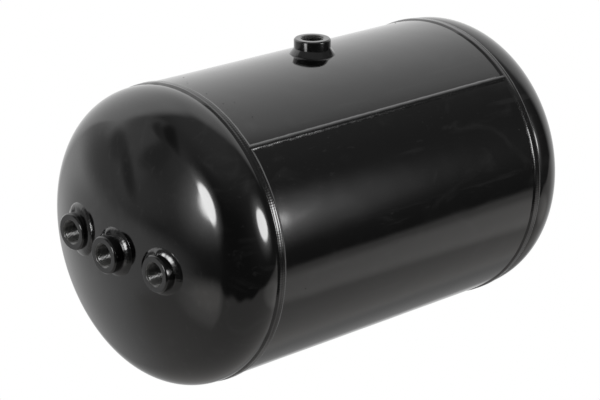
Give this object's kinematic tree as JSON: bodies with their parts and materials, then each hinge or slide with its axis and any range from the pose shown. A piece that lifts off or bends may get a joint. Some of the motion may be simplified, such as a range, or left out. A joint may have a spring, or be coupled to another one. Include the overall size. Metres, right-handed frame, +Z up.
{
  "type": "compressed air reservoir",
  "caption": "Welded steel pressure tank with domed heads, a row of threaded ports in one head and a threaded port on the shell, for a vehicle's compressed air or fluid system.",
  "frame": {"origin": "on the floor under the middle of the overall length; the tank's axis is 139.4 mm above it", "axes": "+X along the tank from the head with the three ports to the plain head; +Z up, along the top port; +Y completes the frame"},
  "size_m": [0.4922, 0.2788, 0.2911],
  "materials": {
    "vessel_paint": "gloss black paint",
    "weld_paint": "gloss black paint over weld beads",
    "port_paint": "gloss black paint over machined steel"
  },
  "bodies": {
    "root": {"shell": "vessel_paint", "front_head": "vessel_paint", "rear_head": "vessel_paint", "shell_seam_weld": "weld_paint", "front_girth_weld": "weld_paint", "rear_girth_weld": "weld_paint", "front_port_boss_left": "port_paint", "front_port_boss_middle": "port_paint", "front_port_boss_right": "port_paint", "top_port_boss": "port_paint", "front_port_weld_left": "weld_paint", "front_port_weld_middle": "weld_paint", "front_port_weld_right": "weld_paint", "top_port_weld": "weld_paint"}
  },
  "joints": []
}
